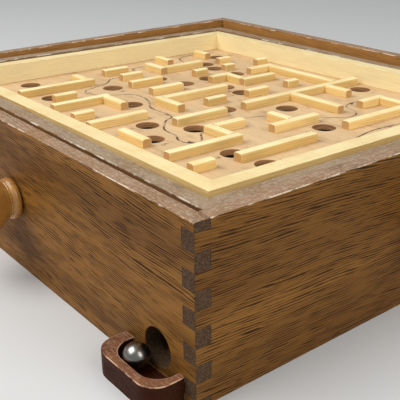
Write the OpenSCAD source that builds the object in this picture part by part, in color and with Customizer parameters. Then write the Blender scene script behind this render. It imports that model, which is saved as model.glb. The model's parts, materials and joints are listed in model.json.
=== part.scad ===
// Tilting labyrinth game: a finger-jointed box, a maze board hung in a tilting frame,
// two knobs that tilt them through strings, and a steel ball.
// Millimetres. The origin is the middle of the underside, +X points to the right-hand wall,
// -Y to the front wall with the ball cup, and +Z up.

/* [Box] */
// Outer length of the box, left to right
box_l = 330; // [300:1:360]
// Outer width of the box, front to back
box_w = 290; // [260:1:320]
// Height of the box
box_h = 86.3; // [82:0.1:100]
// Thickness of the four walls
wall_t = 8; // [7.5:0.5:13]
// Whole fingers in each corner joint, between a half finger below and one above
finger_count = 9; // [5:2:13]

/* [Base] */
// Thickness of the base panel
base_t = 3; // [2:0.5:4]
// How far the base panel reaches into the rebate of each wall
base_lap = 5; // [4:0.5:7]
// Diameter of a base nail's shank
nail_d = 1.4; // [1:0.1:1.8]
// Diameter of a base nail's head
nail_head_d = 3; // [2:0.1:4]
// Thickness of a base nail's head
nail_head_t = 0.75; // [0.5:0.05:1.2]
// Length of a base nail
nail_l = 14; // [8:1:20]
// Nails along each long side of the base
nails_long = 5; // [2:1:7]
// Nails along each short side of the base
nails_short = 4; // [2:1:6]

/* [Ball ramp] */
// Thickness of the sloping ramp
ramp_t = 2.5; // [2:0.5:3]
// Fall of the ramp towards the right-hand wall, in degrees
ramp_fall_right = 2; // [1:0.25:2.5]
// Fall of the ramp towards the front wall, in degrees
ramp_fall_front = 2; // [1:0.25:2.5]
// Height of the ramp above the exit hole's lowest point, so that the ball rolls down into the hole
ramp_lip = 1; // [0.5:0.25:2]
// Gap all round between the ramp and the walls
ramp_gap = 0.3; // [0.1:0.1:1]
// Thickness of the two bearers under the ramp
bearer_t = 8; // [5:1:12]
// Distance of each bearer from the front and back walls
bearer_inset = 40; // [20:1:80]
// Height of the corner guide above the ramp
guide_h = 14; // [10:1:20]
// Length of the corner guide along the right-hand wall
guide_l = 24; // [15:1:40]

/* [Ball exit and cup] */
// Diameter of the exit hole in the front wall
exit_d = 19.5; // [17:0.5:22]
// Distance of the exit hole's middle from the right-hand end of the box
exit_inset = 27; // [24:1:40]
// Height of the exit hole's middle
exit_z = 17; // [16:0.5:20]
// Width of the ball cup along the wall
cup_w = 45; // [40:1:50]
// How far the cup stands out from the wall
cup_d = 18; // [16:0.5:24]
// Height of the cup
cup_h = 12.5; // [10:0.5:16]
// Height of the cup's floor
cup_floor = 5.2; // [3:0.1:7]
// Thickness of the cup's left-hand end
cup_left_t = 6.5; // [4:0.5:8]
// Thickness of the cup's right-hand end
cup_right_t = 4; // [3:0.5:8]
// Thickness of the cup's front
cup_front_t = 4.5; // [3:0.5:6]
// Radius of the cup's outer corners
cup_corner_r = 10; // [4:0.5:12]
// Radius of the cup's inner corners
cup_inner_r = 10.5; // [3:0.5:12]
// Distance of the cup's middle to the left of the exit hole's middle
cup_shift = 3; // [0:0.5:5]

/* [Ball] */
// Diameter of the steel ball
ball_d = 12.7; // [10:0.1:12.8]
// Distance of the ball's middle to the left of the exit hole's middle
ball_shift = 7; // [0:0.5:8]
// Gap between the ball and the cup's floor or the wall
ball_gap = 0.2; // [0.1:0.05:0.5]

/* [Tilting frame] */
// Width of a frame rail
frame_rail_w = 8.7; // [8:0.1:11]
// Height of a frame rail
frame_rail_h = 20; // [18:0.5:22]
// Depth of the frame's top below the top of the box when level
frame_drop = 3.8; // [2:0.1:7]
// Gap between the frame and each side wall, where its pivots are
frame_side_gap = 2.8; // [0.5:0.1:4]
// Gap between the frame and the front and back walls
frame_end_gap = 5.5; // [2:0.1:7]
// Depth of the pivot axes below the frame's top
pivot_depth = 9.3; // [8:0.1:10]
// Diameter of a pivot pin
pin_d = 4; // [3:0.5:5]
// Length of pivot pin held in, or turning in, each piece of wood
pin_hold = 6; // [4:0.5:7]
// Gap round a pivot pin where it turns, and past its tip
pin_clear = 0.06; // [0.02:0.01:0.1]
// Turn of the frame about the left-right axis as it stands, in degrees
frame_tilt = -0.7; // [-4:0.1:4]

/* [Maze board] */
// Gap between the frame and the board's rim
board_gap = 2.4; // [2:0.1:4]
// Thickness of the board's rim
rim_t = 9.5; // [8:0.5:12]
// Height of the rim's top above the frame's top
rim_rise = 0.4; // [0:0.1:2]
// Depth of the maze floor below the rim's top
floor_depth = 13.1; // [11:0.1:15]
// Thickness of the maze floor
floor_t = 3.5; // [2.5:0.5:4]
// How far the maze floor reaches into the rebate of the rim
floor_lap = 4; // [2:0.5:6]
// Width of a maze strip
strip_w = 5.8; // [5:0.1:7]
// Height of a maze strip above the floor
strip_h = 5; // [4:0.1:8]
// Radius of a strip's two upper arrises
strip_r = 1.3; // [0.4:0.1:2.4]
// Diameter of a maze hole
hole_d = 13.4; // [13:0.1:14.5]
// Turn of the board about the front-back axis as it stands, in degrees
board_tilt = -0.5; // [-4:0.1:4]

/* [Knobs and shafts] */
// Largest diameter of a knob
knob_d = 35; // [28:0.5:40]
// Length of a knob
knob_l = 33; // [28:0.5:40]
// Distance of the knob's widest ring from its wall end
knob_belly = 19; // [16:0.5:22]
// Diameter of the knob's bead at the wall
bead_d = 23.5; // [20:0.5:27]
// Length of that bead
bead_l = 5; // [3:0.5:6]
// Diameter of the knob's neck
neck_d = 22; // [16:0.5:22.5]
// Length of the neck between the bead and the head
neck_l = 2; // [1:0.5:4]
// Gap between a knob and the wall
knob_gap = 0.6; // [0.3:0.1:2]
// Depth of the shaft's socket in the knob
socket_l = 20; // [12:1:24]
// Diameter of a shaft
shaft_d = 6; // [5:0.5:7]
// Gap round a shaft where it turns in a wall
shaft_clear = 0.08; // [0.02:0.01:0.1]
// Length of shaft carried in the far wall
shaft_hold = 6; // [4:0.5:7]
// Outer diameter of a stop collar on a shaft
collar_d = 12; // [10:0.5:13]
// Length of a stop collar
collar_l = 6; // [4:0.5:8]
// Gap between a stop collar and the wall
collar_gap = 0.4; // [0.2:0.1:1]
// Distance of the front knob to the right of the middle of the front wall
front_knob_x = 4; // [-10:0.5:10]
// Height of the front knob's axis
front_knob_z = 44; // [40:0.5:45]
// Distance of the right knob behind the middle of the right-hand wall
right_knob_y = 0; // [-2:0.5:2]
// Height of the right knob's axis
right_knob_z = 52; // [51.5:0.5:53]

/* [Strings and springs] */
// Diameter of a string
string_d = 1.2; // [0.8:0.1:1.4]
// Turns of string wound on each shaft
string_turns = 3; // [2:1:5]
// Gap between neighbouring turns of a winding
winding_gap = 0.45; // [0.4:0.05:1]
// Gap between a winding and its shaft
winding_clear = 0.05; // [0.04:0.01:0.2]
// Room between a shaft and the string that leaves it
string_clear = 1.2; // [0.6:0.1:1.6]
// Room along a shaft between its winding and the string that leaves it, which swings as the frame tilts
winding_room = 3.6; // [3.2:0.1:6]
// Place of the frame's string along the right knob's shaft, from the middle
frame_string_x = -30; // [-50:1:-20]
// Place of the board's string along the front knob's shaft, from the middle
board_string_y = 8; // [7:0.5:12]
// Inner radius of a screw eye's ring
eye_r = 2.2; // [1.8:0.1:3]
// Diameter of a screw eye's wire
eye_wire_d = 1.6; // [1.2:0.1:2]
// Depth of the ring's middle below the rail that it hangs from
eye_drop = 8; // [6:0.5:9]
// Length of a screw eye's shank in the wood
eye_hold = 8; // [5:0.5:10]
// Diameter of a tension spring, at the middle of its wire
spring_d = 4.6; // [4:0.2:6]
// Diameter of the spring's wire
spring_wire_d = 0.7; // [0.5:0.1:0.9]
// Turns of a tension spring
spring_turns = 12; // [8:1:16]
// Length of a tension spring
spring_l = 20; // [18:1:30]
// Gap between a spring's end and what it pulls
spring_gap = 0.25; // [0.1:0.05:0.5]

/* [Hidden] */
$fn = 64;

// Overshoot of a cutting solid past the face that it cuts
over = 1;

// Inside faces of the box
in_x = box_l/2 - wall_t;
in_y = box_w/2 - wall_t;
finger_h = box_h/(finger_count + 1);

// Levels of the tilting parts when level
frame_top = box_h - frame_drop;
frame_low = frame_top - frame_rail_h;
pivot_z = frame_top - pivot_depth;
rim_top = frame_top + rim_rise;
floor_top = rim_top - floor_depth;
rim_low = floor_top - floor_t;

// Half sizes of the frame and of the board's rim
frame_x = in_x - frame_side_gap;
frame_y = in_y - frame_end_gap;
rim_x = frame_x - frame_rail_w - board_gap;
rim_y = frame_y - frame_rail_w - board_gap;

// The maze is laid out in cells, 20 across and 16 deep, counted from the middle of the board
tray_x = rim_x - rim_t;
tray_y = rim_y - rim_t;
cell_x = tray_x/10;
cell_y = tray_y/8;

// The last two numbers of a strip say how its first and its second end meet a strip that crosses it:
// 0 for a free end, 1 for an end that butts the strip's side, -1 for one that runs on to the strip's far side
// Strips that run front to back: place across, front end, back end
LONG_LEFT = [[-8.06, -1.3, 0.15, 0, 0], [-6.78, -6.75, -2.68, 0, 0], [-6.63, 1.53, 4.2, 1, 0],
    [-6.55, -1.13, 0.1, 0, 0], [-6.48, 5.3, 6.12, 0, 0], [-4.91, -5.87, -4.72, 0, 0], [-4.92, -1.6, 0.28, 0, 0],
    [-4.88, 2.4, 3.23, 0, 0], [-4.93, 4.5, 5.15, 0, 0], [-4.83, 6.75, 7.5, 0, 0]];
LONG_MIDDLE = [[-3.44, -6.7, -3.98, 0, -1], [-3.36, 5, 6.42, 0, -1], [-3.18, 2.2, 3.32, 0, -1],
    [-3.09, -1.55, 0.28, 0, 0], [-1.71, 3.32, 5.25, -1, 0], [-1.53, -6.7, -5.7, 0, 0], [-1.34, -2.2, 1.73, 1, 0],
    [0.09, -6.85, -3.97, 0, 0], [0.07, 4.5, 5.25, 0, 0], [0.22, -0.7, 0.4, 0, 0], [0.23, 1.78, 3.07, 0, 0]];
LONG_RIGHT = [[1.85, 0.2, 7.7, 0, 0], [1.95, -3.72, -0.97, 0, 0], [3.78, -3.2, -1.48, 1, 0],
    [5.29, -1.17, 1.43, 0, 0], [5.13, 4.42, 5.74, 0, -1], [5.4, -6.55, -3.2, 0, -1], [6.94, 1.5, 6.3, 0, 0],
    [7, -6.65, -5.6, 0, 0], [7.19, -4.6, -0.6, 0, 0]];
// Strips that run left to right: left end, right end, place in depth
CROSS_LEFT = [[-9.05, -7.95, 5.72, 0, 0], [-9.2, -7.9, 3, 0, 0], [-8.05, -6.63, 1.53, 0, -1],
    [-8.15, -6.78, -2.98, 0, 1], [-3.36, 1.85, 6.42, 1, 1], [-3.18, -1.71, 3.32, 1, 1],
    [-3.44, -1.65, -3.98, 1, 0], [-1.34, 0.35, -2.2, -1, 0]];
CROSS_RIGHT = [[1.85, 3.48, 5.5, 1, 0], [1.85, 5.15, 3.14, 1, 0], [5.13, 6.94, 5.74, 1, 1],
    [3.8, 5.29, 0.08, 0, 1], [3.78, 5.4, -3.2, -1, 1], [1.75, 3.62, -6.23, 0, 0]];
// Middles of the maze holes
HOLES = [[2.78, 7.1], [2.98, 1.87], [6.2, 1], [2.82, -3.28], [1.1, -4.55], [2.85, -5.48], [6.32, -4.1],
    [8.1, -3.9], [-5.55, -2.25], [-2.2, -3.22], [-8.86, -5.19], [-2, 2.2], [-0.6, 2.2], [-3.95, 1.1],
    [-5.72, 0.62], [1.3, -0.42], [-3.95, 4.5], [-5.72, 4.5], [-6.95, 4.75], [-8, 6.5], [-4.05, 2.75],
    [8.9, 4.6], [-5.75, -5.55]];

// Exit, cup and ball
exit_x = box_l/2 - exit_inset;
cup_x = exit_x - cup_shift;
ramp_z = exit_z - exit_d/2 + ramp_lip;

// Shafts and strings
shaft_r = shaft_d/2;
winding_r = shaft_r + string_d/2 + winding_clear;
winding_step = string_d + winding_gap;
string_drop = shaft_r + string_clear + string_d/2;
frame_eye_y = frame_y - frame_rail_w/2;
board_eye_x = rim_x - rim_t/2;
eye_reach = eye_r + eye_wire_d + spring_gap;

box_wood = [0.38, 0.25, 0.13];
frame_wood = [0.45, 0.33, 0.22];
pale_wood = [0.93, 0.80, 0.55];
floor_wood = [0.88, 0.75, 0.62];
knob_wood = [0.80, 0.60, 0.34];
cup_wood = [0.52, 0.31, 0.22];
board_brown = [0.45, 0.36, 0.26];
steel = [0.62, 0.62, 0.64];
brass = [0.78, 0.63, 0.32];
cord = [0.86, 0.82, 0.72];

// Poses of the frame and of the board on it
module on_frame() {
    translate([0, 0, pivot_z]) rotate([frame_tilt, 0, 0]) translate([0, 0, -pivot_z]) children();
}

module on_board() {
    on_frame() translate([0, 0, pivot_z]) rotate([0, board_tilt, 0]) translate([0, 0, -pivot_z]) children();
}

// Shaft frames: Z runs along the shaft, with its zero at the middle of the box
module on_front_shaft() {
    translate([front_knob_x, 0, front_knob_z]) rotate([90, 0, 0]) children();
}

module on_right_shaft() {
    translate([0, right_knob_y, right_knob_z]) rotate([0, 90, 0]) children();
}

// Turns the Z axis to run from one point to another
module from_to(from, to) {
    d = to - from;
    translate(from) rotate([0, acos(d[2]/norm(d)), atan2(d[1], d[0])]) children();
}

// Lower and upper end of a finger, counted from the underside
function finger_low(i) = i == 0 ? -over : finger_h*(i - 0.5);
function finger_high(i) = i > finger_count ? box_h + over : finger_h*(i + 0.5);

// Room for the fingers of the other wall at the two ends of a wall that lies along X
module finger_slots(wall_l, first) {
    for (end = [-1, 1], i = [first:2:finger_count + 1])
        translate([end*(wall_l/2 - wall_t/2 + over/2) - wall_t/2 - over/2, -wall_t, finger_low(i)])
            cube([wall_t + over, 2*wall_t, finger_high(i) - finger_low(i)]);
}

// Recess of the base panel
module base_space(low, high) {
    translate([-in_x - base_lap, -in_y - base_lap, low])
        cube([2*(in_x + base_lap), 2*(in_y + base_lap), high - low]);
}

module long_wall(side) {
    difference() {
        translate([0, side*(box_w - wall_t)/2, 0]) difference() {
            translate([-box_l/2, -wall_t/2, 0]) cube([box_l, wall_t, box_h]);
            finger_slots(box_l, 1);
        }
        base_space(-over, base_t);
        nails(over);
    }
}

module short_wall(side) {
    difference() {
        translate([side*(box_l - wall_t)/2, 0, 0]) rotate([0, 0, 90]) difference() {
            translate([-box_w/2, -wall_t/2, 0]) cube([box_w, wall_t, box_h]);
            finger_slots(box_w, 0);
        }
        base_space(-over, base_t);
        nails(over);
        translate([side*in_x, 0, pivot_z]) rotate([0, -side*90, 0])
            translate([0, 0, -pin_hold]) cylinder(d = pin_d, h = pin_hold + over);
    }
}

module front_wall() {
    color(box_wood) difference() {
        long_wall(-1);
        translate([exit_x, -box_w/2 - over, exit_z]) rotate([-90, 0, 0])
            cylinder(d = exit_d, h = wall_t + 2*over);
        on_front_shaft() translate([0, 0, in_y - over])
            cylinder(r = shaft_r + shaft_clear, h = wall_t + 2*over);
    }
}

module back_wall() {
    color(box_wood) difference() {
        long_wall(1);
        on_front_shaft() translate([0, 0, -in_y - shaft_hold - over])
            cylinder(r = shaft_r + shaft_clear, h = shaft_hold + 2*over);
    }
}

module left_wall() {
    color(box_wood) difference() {
        short_wall(-1);
        on_right_shaft() translate([0, 0, -in_x - shaft_hold - over])
            cylinder(r = shaft_r + shaft_clear, h = shaft_hold + 2*over);
    }
}

module right_wall() {
    color(box_wood) difference() {
        short_wall(1);
        on_right_shaft() translate([0, 0, in_x - over])
            cylinder(r = shaft_r + shaft_clear, h = wall_t + 2*over);
    }
}

// Base nails, with their heads flush with the underside; a cut runs past it
module nail(x, y, past) {
    translate([x, y, -past]) {
        cylinder(d = nail_head_d, h = nail_head_t + past);
        cylinder(d = nail_d, h = nail_l + past);
    }
}

module nails(past = 0) {
    row_x = in_x + base_lap/2;
    row_y = in_y + base_lap/2;
    for (side = [-1, 1]) {
        for (i = [0:nails_long - 1])
            nail((2*(i + 0.5)/nails_long - 1)*in_x, side*row_y, past);
        for (i = [0:nails_short - 1])
            nail(side*row_x, (2*(i + 0.5)/nails_short - 1)*in_y, past);
    }
}

module base_panel() {
    color(board_brown) difference() {
        base_space(0, base_t);
        nails(over);
    }
}

module base_nails() {
    color(steel) nails();
}

// The slab between two depths below the ramp's upper face
module ramp_slab(low, high) {
    span = 2*(box_l + box_w);
    translate([exit_x, -in_y, ramp_z]) rotate([ramp_fall_front, ramp_fall_right, 0])
        translate([-span/2, -span/2, low]) cube([span, span, high - low]);
}

module ramp_room(high) {
    translate([-in_x + ramp_gap, -in_y + ramp_gap, base_t])
        cube([2*(in_x - ramp_gap), 2*(in_y - ramp_gap), high]);
}

module ball_ramp() {
    color(board_brown) intersection() {
        ramp_slab(-ramp_t, 0);
        ramp_room(box_h);
    }
}

module ramp_bearers() {
    color(frame_wood) difference() {
        for (side = [-1, 1])
            translate([-in_x + bearer_inset, side*(in_y - bearer_inset) - bearer_t/2, base_t])
                cube([2*(in_x - bearer_inset), bearer_t, box_h/2]);
        ramp_slab(-ramp_t, box_h);
    }
}

// Ends one ball radius to the right of the exit's middle, so that it leads the ball to the middle
module corner_guide() {
    left = exit_x + ball_d/2;
    right = in_x - ramp_gap;
    front = -in_y + ramp_gap;
    color(frame_wood) intersection() {
        ramp_slab(0, guide_h);
        linear_extrude(box_h) polygon([[left, front], [right, front], [right, front + guide_l]]);
    }
}

// Outline of a block against the wall, with its two outer corners rounded
module cup_outline(w, d, r) {
    intersection() {
        translate([-w/2, -d]) square([w, d]);
        union() {
            translate([-w/2, -d + r]) square([w, 2*d]);
            translate([-w/2 + r, -d]) square([w - 2*r, 2*d]);
            for (side = [-1, 1])
                translate([side*(w/2 - r), -d + r]) circle(r);
        }
    }
}

module ball_cup() {
    hollow_w = cup_w - cup_left_t - cup_right_t;
    hollow_d = cup_d - cup_front_t;
    color(cup_wood) translate([cup_x, -box_w/2, 0]) difference() {
        linear_extrude(cup_h) cup_outline(cup_w, cup_d, cup_corner_r);
        translate([(cup_left_t - cup_right_t)/2, 0, cup_floor]) linear_extrude(cup_h) {
            cup_outline(hollow_w, hollow_d, cup_inner_r);
            translate([-hollow_w/2, -over]) square([hollow_w, 2*over]);
        }
    }
}

module frame_pivot_pins() {
    color(steel) for (side = [-1, 1])
        translate([side*(in_x + pin_hold), 0, pivot_z]) rotate([0, -side*90, 0])
            cylinder(d = pin_d, h = 2*pin_hold + frame_side_gap);
}

// One rail of a mitred frame, along X at the front, with the frame's half sizes
module mitred_rail(half_x, half_y, w, low, high) {
    translate([0, 0, low]) linear_extrude(high - low)
        polygon([[-half_x, -half_y], [half_x, -half_y], [half_x - w, -half_y + w], [-half_x + w, -half_y + w]]);
}

module frame_rail(half_x, half_y) {
    mitred_rail(half_x, half_y, frame_rail_w, frame_low, frame_top);
}

// Front and back rails hold the board's pins and the screw eyes of the frame's string
module frame_end_rail(side) {
    color(frame_wood) on_frame() difference() {
        mirror([0, side > 0 ? 1 : 0, 0]) frame_rail(frame_x, frame_y);
        board_pins(over);
        frame_eye(side);
    }
}

// Left and right rails turn on the frame's pins
module frame_side_rail(side) {
    bore_l = pin_hold + pin_clear;
    color(frame_wood) on_frame() difference() {
        rotate([0, 0, side*90]) frame_rail(frame_y, frame_x);
        translate([side*frame_x, 0, pivot_z]) rotate([0, -side*90, 0])
            translate([0, 0, -over]) cylinder(r = pin_d/2 + pin_clear, h = bore_l + over);
    }
}

module frame_front_rail() {
    frame_end_rail(-1);
}

module frame_back_rail() {
    frame_end_rail(1);
}

module frame_left_rail() {
    frame_side_rail(-1);
}

module frame_right_rail() {
    frame_side_rail(1);
}

// Pins between the frame and the board; a cut runs past the rail's outer face
module board_pins(past = 0) {
    for (side = [-1, 1])
        translate([0, side*(frame_y + past), pivot_z]) rotate([side*90, 0, 0])
            cylinder(d = pin_d, h = past + frame_rail_w + board_gap + pin_hold);
}

module board_pivot_pins() {
    color(steel) on_frame() board_pins();
}

// A screw eye whose ring hangs below a rail, with the ring in the YZ plane
module screw_eye() {
    wire_r = eye_wire_d/2;
    rotate([0, 90, 0]) rotate_extrude() translate([eye_r + wire_r, 0]) circle(wire_r, $fn = 24);
    translate([0, 0, eye_r + wire_r]) cylinder(r = wire_r, h = eye_drop + eye_hold - eye_r - wire_r, $fn = 24);
}

module frame_eye(side) {
    translate([frame_string_x, side*frame_eye_y, frame_low - eye_drop]) screw_eye();
}

module board_eye(side) {
    translate([side*board_eye_x, board_string_y, rim_low - eye_drop]) rotate([0, 0, 90]) screw_eye();
}

module frame_eyes() {
    color(brass) on_frame() for (side = [-1, 1]) frame_eye(side);
}

module board_eyes() {
    color(brass) on_board() for (side = [-1, 1]) board_eye(side);
}

// Ends of the strings: below the shaft that winds them, and at the screw eyes
function frame_string_in() = [frame_string_x, right_knob_y, right_knob_z - string_drop];
function frame_string_out(side) = [frame_string_x, side*(frame_eye_y - eye_reach), frame_low - eye_drop];
function board_string_in() = [front_knob_x, board_string_y, front_knob_z - string_drop];
function board_string_out(side) = [side*(board_eye_x - eye_reach), board_string_y, rim_low - eye_drop];

// The point at a distance before the end of a line
function before_end(from, to, d) = to - d*(to - from)/norm(to - from);

module string_run(from, to) {
    from_to(from, to) cylinder(d = string_d, h = norm(to - from), $fn = 24);
}

// A string from the shaft to both eyes, broken on one side for the spring;
// its two runs reach past each other where they meet
module string_pair(middle, plain_end, spring_end) {
    string_run(before_end(plain_end, middle, -string_d), plain_end);
    string_run(middle, before_end(middle, spring_end, spring_l + 2*spring_gap));
}

module frame_string() {
    color(cord) on_frame() string_pair(frame_string_in(), frame_string_out(-1), frame_string_out(1));
}

module board_string() {
    color(cord) on_board() string_pair(board_string_in(), board_string_out(1), board_string_out(-1));
}

// A wire along a coil: rings of points round each place on the path, joined by triangles
module coil(places, wire_r) {
    sides = 6;
    last = len(places) - 1;
    points = [for (p = places, k = [0:sides - 1])
        let (r = p[0] + wire_r*cos(360*k/sides), z = p[2] + wire_r*sin(360*k/sides))
        [r*cos(p[1]), r*sin(p[1]), z]];
    sleeve = [for (i = [0:last - 1], k = [0:sides - 1])
        let (a = i*sides + k, b = i*sides + (k + 1)%sides)
        each [[a, a + sides, b], [b, a + sides, b + sides]]];
    caps = [for (k = [1:sides - 2]) each [[0, k, k + 1], [last*sides, last*sides + k + 1, last*sides + k]]];
    polyhedron(points, concat(sleeve, caps), convexity = 10);
}

// Places on a coil as radius, angle and height; a spring's ends draw in to its axis
rings_per_turn = 8;
spring_inner_r = spring_wire_d;
spring_step = (spring_l - spring_wire_d)/spring_turns;
function spring_radius(t) = spring_inner_r
    + (spring_d/2 - spring_inner_r)*min(1, t, spring_turns - t);
spring_places = [for (i = [0:rings_per_turn*spring_turns])
    let (t = i/rings_per_turn) [spring_radius(t), 360*t, spring_wire_d/2 + spring_step*t]];
winding_rings = 24;
winding_places = [for (i = [0:winding_rings*string_turns])
    let (t = i/winding_rings) [winding_r, 360*t, winding_step*t]];

// Least clear gaps between neighbouring turns
echo(spring_turn_gap = spring_step - spring_wire_d, winding_turn_gap = winding_step - string_d);

module tension_spring(middle, end) {
    from_to(before_end(middle, end, spring_l + spring_gap), end) coil(spring_places, spring_wire_d/2);
}

module frame_spring() {
    color(steel) on_frame() tension_spring(frame_string_in(), frame_string_out(1));
}

module board_spring() {
    color(steel) on_board() tension_spring(board_string_in(), board_string_out(-1));
}

// Rim of the board, with a rebate for the floor and blind bores for the board's pins
module rim_rail(half_x, half_y) {
    mitred_rail(half_x, half_y, rim_t, rim_low, rim_top);
}

module floor_space(low, high) {
    translate([-tray_x - floor_lap, -tray_y - floor_lap, low])
        cube([2*(tray_x + floor_lap), 2*(tray_y + floor_lap), high - low]);
}

module rim_end(side) {
    bore_l = pin_hold + pin_clear;
    color(pale_wood) on_board() difference() {
        mirror([0, side > 0 ? 1 : 0, 0]) rim_rail(rim_x, rim_y);
        floor_space(rim_low - over, floor_top);
        translate([0, side*rim_y, pivot_z]) rotate([side*90, 0, 0])
            translate([0, 0, -over]) cylinder(r = pin_d/2 + pin_clear, h = bore_l + over);
    }
}

module rim_side(side) {
    color(pale_wood) on_board() difference() {
        rotate([0, 0, side*90]) rim_rail(rim_y, rim_x);
        floor_space(rim_low - over, floor_top);
        board_eye(side);
    }
}

module rim_front() {
    rim_end(-1);
}

module rim_back() {
    rim_end(1);
}

module rim_left() {
    rim_side(-1);
}

module rim_right() {
    rim_side(1);
}

module maze_floor() {
    color(floor_wood) on_board() difference() {
        floor_space(rim_low, floor_top);
        for (h = HOLES)
            translate([h[0]*cell_x, h[1]*cell_y, rim_low - over]) cylinder(d = hole_d, h = floor_t + 2*over);
        for (side = [-1, 1]) board_eye(side);
    }
}

// Cross-section of a strip that stands on the floor
module strip_section() {
    translate([-strip_w/2, 0]) square([strip_w, strip_h - strip_r]);
    translate([-strip_w/2 + strip_r, 0]) square([strip_w - 2*strip_r, strip_h]);
    for (side = [-1, 1])
        translate([side*(strip_w/2 - strip_r), strip_h - strip_r]) circle(strip_r);
}

module long_strips(places) {
    color(pale_wood) on_board() for (p = places)
        translate([p[0]*cell_x, p[2]*cell_y - p[4]*strip_w/2, floor_top]) rotate([90, 0, 0])
            linear_extrude((p[2] - p[1])*cell_y - (p[3] + p[4])*strip_w/2) strip_section();
}

module cross_strips(places) {
    color(pale_wood) on_board() for (p = places)
        translate([p[0]*cell_x + p[3]*strip_w/2, p[2]*cell_y, floor_top]) rotate([90, 0, 90])
            linear_extrude((p[1] - p[0])*cell_x - (p[3] + p[4])*strip_w/2) strip_section();
}

module long_strips_left() {
    long_strips(LONG_LEFT);
}

module long_strips_middle() {
    long_strips(LONG_MIDDLE);
}

module long_strips_right() {
    long_strips(LONG_RIGHT);
}

module cross_strips_left() {
    cross_strips(CROSS_LEFT);
}

module cross_strips_right() {
    cross_strips(CROSS_RIGHT);
}

// Turned knob along Z from its wall end: a bead, a neck and a rounded head
neck_end = bead_l + neck_l;
head_r = knob_d/2;
neck_angle = acos(neck_d/knob_d);
back_l = (knob_belly - neck_end)/sin(neck_angle);
bead_curve = [for (a = [-90:10:90])
    [bead_d/2 - bead_l/2 + bead_l/2*cos(a), bead_l/2 + bead_l/2*sin(a)]];
head_curve = [for (i = [0:24])
    let (a = -neck_angle + (90 + neck_angle)*i/24)
    [head_r*cos(a), knob_belly + sin(a)*(a < 0 ? back_l : knob_l - knob_belly)]];

module knob() {
    color(knob_wood) difference() {
        rotate_extrude() polygon(concat([[0, 0]], bead_curve, [[neck_d/2, bead_l + neck_l/2]], head_curve));
        translate([0, 0, -over]) cylinder(r = shaft_r, h = socket_l + over);
    }
}

module shaft(reach, face) {
    color(steel) translate([0, 0, -reach - shaft_hold])
        cylinder(r = shaft_r, h = reach + shaft_hold + face + knob_gap + socket_l);
}

module stop_collars(reach) {
    color(brass) for (side = [-1, 1])
        translate([0, 0, side*(reach - collar_gap - collar_l/2) - collar_l/2]) difference() {
            cylinder(d = collar_d, h = collar_l);
            translate([0, 0, -over]) cylinder(r = shaft_r, h = collar_l + 2*over);
        }
}

module winding() {
    color(cord) translate([0, 0, -winding_step*string_turns - string_d - winding_room])
        coil(winding_places, string_d/2);
}

module front_knob() {
    on_front_shaft() translate([0, 0, box_w/2 + knob_gap]) knob();
}

module front_shaft() {
    on_front_shaft() shaft(in_y, box_w/2);
}

module front_shaft_collars() {
    on_front_shaft() stop_collars(in_y);
}

module front_winding() {
    on_front_shaft() translate([0, 0, -board_string_y]) winding();
}

module right_knob() {
    on_right_shaft() translate([0, 0, box_l/2 + knob_gap]) knob();
}

module right_shaft() {
    on_right_shaft() shaft(in_x, box_l/2);
}

module right_shaft_collars() {
    on_right_shaft() stop_collars(in_x);
}

module right_winding() {
    on_right_shaft() translate([0, 0, frame_string_x]) winding();
}

module ball() {
    color(steel) translate([exit_x - ball_shift, -box_w/2 - ball_d/2 - ball_gap, cup_floor + ball_d/2 + ball_gap])
        sphere(d = ball_d);
}

front_wall();
back_wall();
left_wall();
right_wall();
base_panel();
base_nails();
ball_ramp();
ramp_bearers();
corner_guide();
ball_cup();
frame_pivot_pins();
frame_front_rail();
frame_back_rail();
frame_left_rail();
frame_right_rail();
board_pivot_pins();
frame_eyes();
frame_string();
frame_spring();
rim_front();
rim_back();
rim_left();
rim_right();
maze_floor();
long_strips_left();
long_strips_middle();
long_strips_right();
cross_strips_left();
cross_strips_right();
board_eyes();
board_string();
board_spring();
front_knob();
front_shaft();
front_shaft_collars();
front_winding();
right_knob();
right_shaft();
right_shaft_collars();
right_winding();
ball();
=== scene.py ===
import json
import math
import random

import bmesh
import bpy
from bpy.props import FloatProperty, FloatVectorProperty, IntProperty, PointerProperty
from mathutils import Matrix, Quaternion, Vector


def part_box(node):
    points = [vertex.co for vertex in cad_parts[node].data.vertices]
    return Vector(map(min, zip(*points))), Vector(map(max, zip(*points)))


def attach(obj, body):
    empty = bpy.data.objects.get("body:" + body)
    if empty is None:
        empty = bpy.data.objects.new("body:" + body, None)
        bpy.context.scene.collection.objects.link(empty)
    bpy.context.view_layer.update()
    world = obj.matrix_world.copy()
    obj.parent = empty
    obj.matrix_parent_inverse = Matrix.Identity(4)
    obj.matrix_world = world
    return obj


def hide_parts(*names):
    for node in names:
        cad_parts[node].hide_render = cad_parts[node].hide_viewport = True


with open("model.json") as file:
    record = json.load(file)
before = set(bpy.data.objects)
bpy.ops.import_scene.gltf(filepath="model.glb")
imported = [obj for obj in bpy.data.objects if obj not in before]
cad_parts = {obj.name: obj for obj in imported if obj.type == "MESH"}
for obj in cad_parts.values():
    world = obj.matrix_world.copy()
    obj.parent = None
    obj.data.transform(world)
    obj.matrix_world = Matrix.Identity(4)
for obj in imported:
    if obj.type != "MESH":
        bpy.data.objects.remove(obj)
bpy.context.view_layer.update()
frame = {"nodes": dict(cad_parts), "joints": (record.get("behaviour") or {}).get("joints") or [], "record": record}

bl_info = {
    "name": "Labyrinth game dressing",
    "version": (1, 0, 0),
    "blender": (4, 5, 0),
    "location": "View3D > Sidebar > Labyrinth",
    "description": "Dresses a tilting labyrinth game: stained box, pale maze, printed route, knobs and ball",
    "category": "Object",
}

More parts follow.
